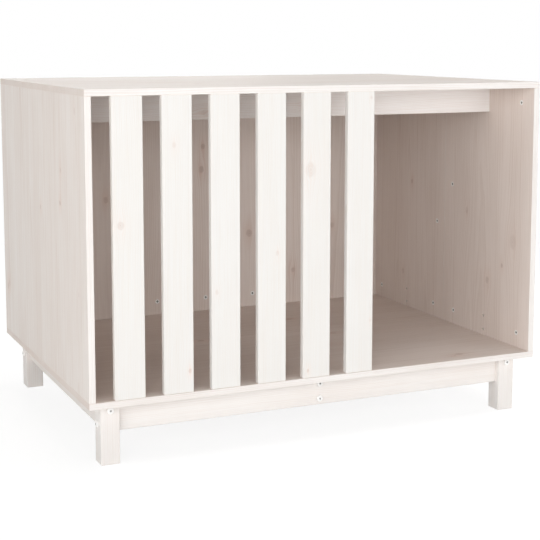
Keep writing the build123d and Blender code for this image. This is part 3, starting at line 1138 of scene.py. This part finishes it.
@dataclass
class Studio:
    """A pale floor, a white surround and soft lamps."""

    floor_size: float = 30.0
    surround: float = 0.06
    floor_colour: Colour = (0.9, 0.89, 0.88)
    shadow_reach: tuple[float, float] = (1.0, 2.4)
    shadow_share: float = 0.26
    shadow_glow: float = 0.84
    lamps: tuple[Lamp, ...] = (
        Lamp("front_lamp", (0.6, -4.5, 0.9), (3.0, 1.6), 58.0, COOL),
        Lamp("front_left_lamp", (-2.8, -3.4, 1.4), (2.4, 2.0), 69.0, COOL),
        Lamp("front_right_lamp", (3.2, -3.4, 1.4), (2.4, 2.0), 38.0, COOL),
        Lamp("left_lamp", (-4.1, -1.3, 0.75), (3.0, 1.4), 50.0, WARM),
        Lamp("right_lamp", (4.2, 0.6, 1.4), (3.0, 2.0), 55.0, WARM),
        Lamp("back_lamp", (0.4, 4.3, 0.9), (3.0, 1.8), 68.0, WARM),
        Lamp("top_lamp", (0.7, 0.0, 4.2), (3.0, 3.0), 76.0, WARM),
    )

    def _white_for_camera(self, graph: Graph) -> bpy.types.NodeSocket:
        """1 for rays that the camera, a reflection or glass sends, and 0 for the others."""
        path = graph.node("ShaderNodeLightPath").outputs
        seen = graph.calc("MAXIMUM", path["Is Camera Ray"], path["Is Glossy Ray"])
        return graph.calc("MAXIMUM", seen, path["Is Transmission Ray"])

    def build(self) -> None:
        """Makes the surround, the floor and the lamps."""
        world = bpy.data.worlds.new("studio")
        bpy.context.scene.world = world
        world.use_nodes = True
        graph = Graph(world.node_tree)
        seen = self._white_for_camera(graph)
        white = graph.node("ShaderNodeBackground", {"Color": PURE_WHITE, "Strength": 1.0})
        soft = graph.node("ShaderNodeBackground", {"Color": PURE_WHITE, "Strength": self.surround})
        mixed = graph.node("ShaderNodeMixShader", {0: seen, 1: soft.outputs[0], 2: white.outputs[0]})
        graph.node("ShaderNodeOutputWorld", {"Surface": mixed.outputs[0]})
        work = bmesh.new()
        bmesh.ops.create_grid(work, x_segments=1, y_segments=1, size=self.floor_size / 2)
        mesh = bpy.data.meshes.new("floor")
        work.to_mesh(mesh)
        work.free()
        floor = bpy.data.objects.new("floor", mesh)
        bpy.context.scene.collection.objects.link(floor)
        material = bpy.data.materials.new("pale_floor")
        material.use_nodes = True
        graph = Graph(material.node_tree)
        matt = graph.node("ShaderNodeBsdfDiffuse", {"Color": (*self.floor_colour, 1.0)})
        spot = graph.node("ShaderNodeTexCoord").outputs["Object"]
        away = graph.vector("LENGTH", spot)
        near = graph.ramp(away, *self.shadow_reach, self.shadow_share, 0.0)
        pale = graph.node("ShaderNodeBsdfDiffuse", {"Color": graph.blend(near, BLACK, PURE_WHITE)})
        strength = graph.ramp(away, *self.shadow_reach, self.shadow_glow, 1.0)
        glow = graph.node("ShaderNodeEmission", {"Color": PURE_WHITE, "Strength": strength})
        lit = graph.node("ShaderNodeAddShader", {0: pale.outputs[0], 1: glow.outputs[0]})
        seen = self._white_for_camera(graph)
        mixed = graph.node("ShaderNodeMixShader", {0: seen, 1: matt.outputs[0], 2: lit.outputs[0]})
        graph.node("ShaderNodeOutputMaterial", {"Surface": mixed.outputs[0]})
        mesh.materials.append(material)
        for lamp in self.lamps:
            lamp.build()
        LOG.info("studio: floor, surround and %d lamps", len(self.lamps))


@dataclass
class Viewpoint:
    """The camera at the photograph's viewing angle."""

    place: tuple[float, float, float] = (-1.13361, -2.59286, 0.81123)
    turn: float = -24.1028
    tilt: float = 6.9925
    lens: float = 84.622
    shift: float = -0.14

    def build(self) -> None:
        """Makes the camera."""
        data = bpy.data.cameras.new("camera")
        data.lens = self.lens
        data.sensor_width = 36.0
        data.shift_y = self.shift
        data.clip_start, data.clip_end = 0.05, 100.0
        camera = bpy.data.objects.new("camera", data)
        camera.location = self.place
        camera.rotation_euler = (math.radians(90.0 - self.tilt), 0.0, math.radians(self.turn))
        bpy.context.scene.collection.objects.link(camera)
        bpy.context.scene.camera = camera


WALL_STRIP = 0.0875
BACK_STRIP = 0.081

# For each board, every knot that shows: its place, its radius and how dark it is.
KNOTS = {
    "floor_board_front": ((0.179, -0.017, 0.133, 0.006, 0.5), (0.322, -0.315, 0.133, 0.0025, 1.0)),
    "floor_board_back": ((-0.129, 0.036, 0.133, 0.006, 0.8), (0.147, 0.157, 0.133, 0.005, 0.7)),
    "left_side_board_front": (
        (-0.5, -0.008, 0.464, 0.0035, 0.8),
        (-0.5, -0.166, 0.491, 0.004, 1.0),
        (-0.5, -0.174, 0.556, 0.0045, 0.5),
        (-0.5, -0.283, 0.677, 0.005, 0.35),
        (-0.5, -0.291, 0.33, 0.004, 0.3),
    ),
    "left_side_board_back": ((-0.5, 0.32, 0.238, 0.005, 0.7),),
    "right_side_board_front": (
        (0.487, -0.243, 0.307, 0.0035, 0.8),
        (0.487, -0.1865, 0.263, 0.006, 0.7),
        (0.487, -0.096, 0.4125, 0.005, 0.45),
        (0.487, -0.283, 0.365, 0.011, 0.35),
    ),
    "right_side_board_back": ((0.487, 0.194, 0.221, 0.005, 0.5),),
    "back_board_middle": ((-0.005, 0.337, 0.546, 0.005, 0.9), (-0.009, 0.337, 0.49, 0.006, 1.0)),
    "back_board_right": (
        (0.119, 0.337, 0.322, 0.007, 0.9),
        (0.242, 0.337, 0.218, 0.005, 0.8),
        (0.355, 0.337, 0.328, 0.005, 0.6),
    ),
    "slat_1": ((-0.434, -0.35, 0.466, 0.006, 0.7),),
    "slat_2": ((-0.327, -0.35, 0.613, 0.004, 0.5), (-0.299, -0.35, 0.175, 0.003, 1.0)),
    "slat_3": ((-0.242, -0.35, 0.325, 0.0035, 0.5),),
    "slat_4": ((-0.114, -0.35, 0.392, 0.0035, 0.5),),
    "slat_5": ((-0.042, -0.35, 0.555, 0.0105, 0.5), (-0.047, -0.35, 0.148, 0.003, 0.9)),
    "slat_6": ((0.093, -0.35, 0.695, 0.0025, 0.5), (0.094, -0.35, 0.239, 0.0025, 0.5)),
}


def knots_of(node: str) -> tuple[Knot, ...]:
    """The knots that the table gives for a board, none if it isn't there."""
    return tuple(Knot(spot[:3], *spot[3:]) for spot in KNOTS.get(node, ()))


# The last column is the sign of each board's inner face, which takes the painted shade.
BOX_BOARDS = tuple(
    Board(node, grain, knots_of(node), strip, extra, inner_side)
    for node, grain, strip, extra, inner_side in (
        ("top_board_front", Grain.WIDE, WALL_STRIP, 3, -1.0),
        ("top_board_back", Grain.WIDE, WALL_STRIP, 3, -1.0),
        ("floor_board_front", Grain.WIDE, WALL_STRIP, 2, 1.0),
        ("floor_board_back", Grain.WIDE, WALL_STRIP, 2, 1.0),
        ("left_side_board_front", Grain.UPRIGHT_FACING_SIDE, WALL_STRIP, 0, 1.0),
        ("left_side_board_back", Grain.UPRIGHT_FACING_SIDE, WALL_STRIP, 1, 1.0),
        ("right_side_board_front", Grain.UPRIGHT_FACING_SIDE, WALL_STRIP, 0, -1.0),
        ("right_side_board_back", Grain.UPRIGHT_FACING_SIDE, WALL_STRIP, 1, -1.0),
        ("back_board_left", Grain.UPRIGHT_FACING_FRONT, BACK_STRIP, 2, -1.0),
        ("back_board_middle", Grain.UPRIGHT_FACING_FRONT, 0.082, 0, -1.0),
        ("back_board_right", Grain.UPRIGHT_FACING_FRONT, BACK_STRIP, 1, -1.0),
    )
)
SLAT_BOARDS = tuple(
    Board(f"slat_{i}", Grain.UPRIGHT_FACING_FRONT, knots_of(f"slat_{i}")) for i in range(1, 7)
)
BATTEN_BOARDS = (
    Board("top_batten_front", Grain.LENGTH_ON_EDGE, (), 1.0, 2),
    Board("top_batten_back", Grain.LENGTH_ON_EDGE, (), 1.0, 2),
)
FRAME_BOARDS = (
    *(
        Board(f"leg_{row}_{side}", Grain.UPRIGHT_FACING_FRONT)
        for row in ("front", "back")
        for side in ("left", "right")
    ),
    Board("front_apron", Grain.LENGTH_ON_EDGE),
    Board("back_apron", Grain.LENGTH_ON_EDGE, (), 1.0, 2),
    *(Board(f"{side}_apron", Grain.DEPTH_ON_EDGE, (), 1.0, 1) for side in ("left", "right")),
    Board("centre_rail", Grain.DEPTH_ON_EDGE, (), 1.0, 1),
)


def main() -> None:
    """Builds every sub-assembly in order, then the studio and the camera."""
    logging.basicConfig(level=logging.INFO, format="%(name)s: %(message)s")
    bpy.context.scene.view_settings.view_transform = "Standard"
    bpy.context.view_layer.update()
    Woodwork("box", PANEL_PINE, BOX_BOARDS, 3).build()
    Woodwork("slats", SLAT_PINE, SLAT_BOARDS, 31).build()
    Woodwork("battens", BATTEN_PINE, BATTEN_BOARDS, 51).build()
    Woodwork("leg frame", FRAME_PINE, FRAME_BOARDS, 61).build()
    Hardware().build()
    Studio().build()
    Viewpoint().build()


if __name__ == "__main__":
    main()
